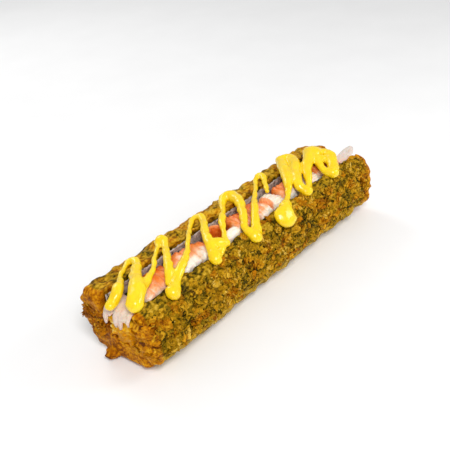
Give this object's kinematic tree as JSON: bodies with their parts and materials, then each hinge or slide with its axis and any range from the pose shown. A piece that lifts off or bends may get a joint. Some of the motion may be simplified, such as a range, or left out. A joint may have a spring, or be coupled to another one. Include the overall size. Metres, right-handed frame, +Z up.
{
  "type": "shrimp hot dog",
  "caption": "Deep-fried rice roll, slit along its top and filled like a hot dog with seaweed, shrimps and crab stick under a zigzag of yellow sauce.",
  "frame": {"origin": "middle of the flat base that the roll lies on", "axes": "+X along the roll, away from its open near end; -Y towards the side that the picture shows; +Z up, out of the slot"},
  "size_m": [0.1834, 0.0458, 0.0471],
  "materials": {
    "crust": "rough fried crumb, golden brown with olive and orange flecks",
    "sauce": "thick glossy yellow sauce",
    "rice": "cooked short-grain rice, cream with an oily sheen",
    "nori": "thin dark seaweed with a grey-violet bloom",
    "shrimp": "moist cooked shrimp, orange bands on a pink and white body",
    "crab": "moist fibrous crab stick, white with a faint pink"
  },
  "bodies": {
    "root": {"roll": "crust", "rice": "rice", "nori": "nori", "shrimp_1": "shrimp", "shrimp_2": "shrimp", "shrimp_3": "shrimp", "shrimp_4": "shrimp", "shrimp_5": "shrimp", "shrimp_6": "shrimp", "shrimp_curled": "shrimp", "crab_chunk_1": "crab", "crab_chunk_2": "crab", "crab_chunk_3": "crab", "crab_shreds_near": "crab", "crab_shred_far": "crab"}
  },
  "joints": []
}
